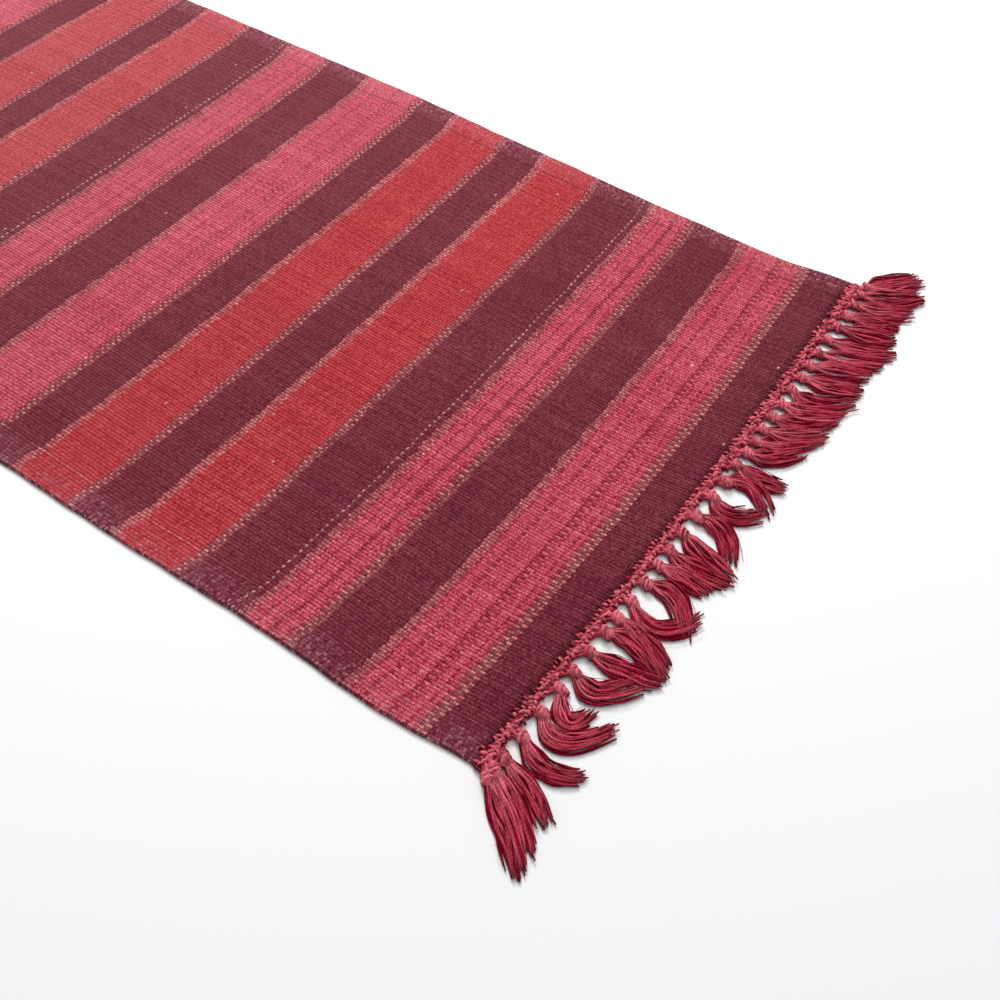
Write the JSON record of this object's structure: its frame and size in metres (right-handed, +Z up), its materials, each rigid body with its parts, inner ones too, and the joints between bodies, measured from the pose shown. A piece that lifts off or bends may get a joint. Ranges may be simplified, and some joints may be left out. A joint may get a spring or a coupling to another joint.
{
  "type": "flatweave rug",
  "caption": "Flat oblong flatweave rug, weft-faced with crosswise stripes in plum, rose and brick red, raised selvedges and a knotted tassel fringe along each short end.",
  "frame": {"origin": "middle of the rug on the floor, under the centre of its outline", "axes": "+X across the width, +Y along the length away from the fringe that the picture shows, +Z up"},
  "size_m": [0.7541, 1.4383, 0.008],
  "materials": {
    "striped_weave": "matte ribbed wool weave, striped across",
    "fringe_yarn": "matte plied wool yarn, crimson"
  },
  "bodies": {
    "root": {"woven_cloth": "striped_weave", "near_fringe": "fringe_yarn", "far_fringe": "fringe_yarn"}
  },
  "joints": []
}
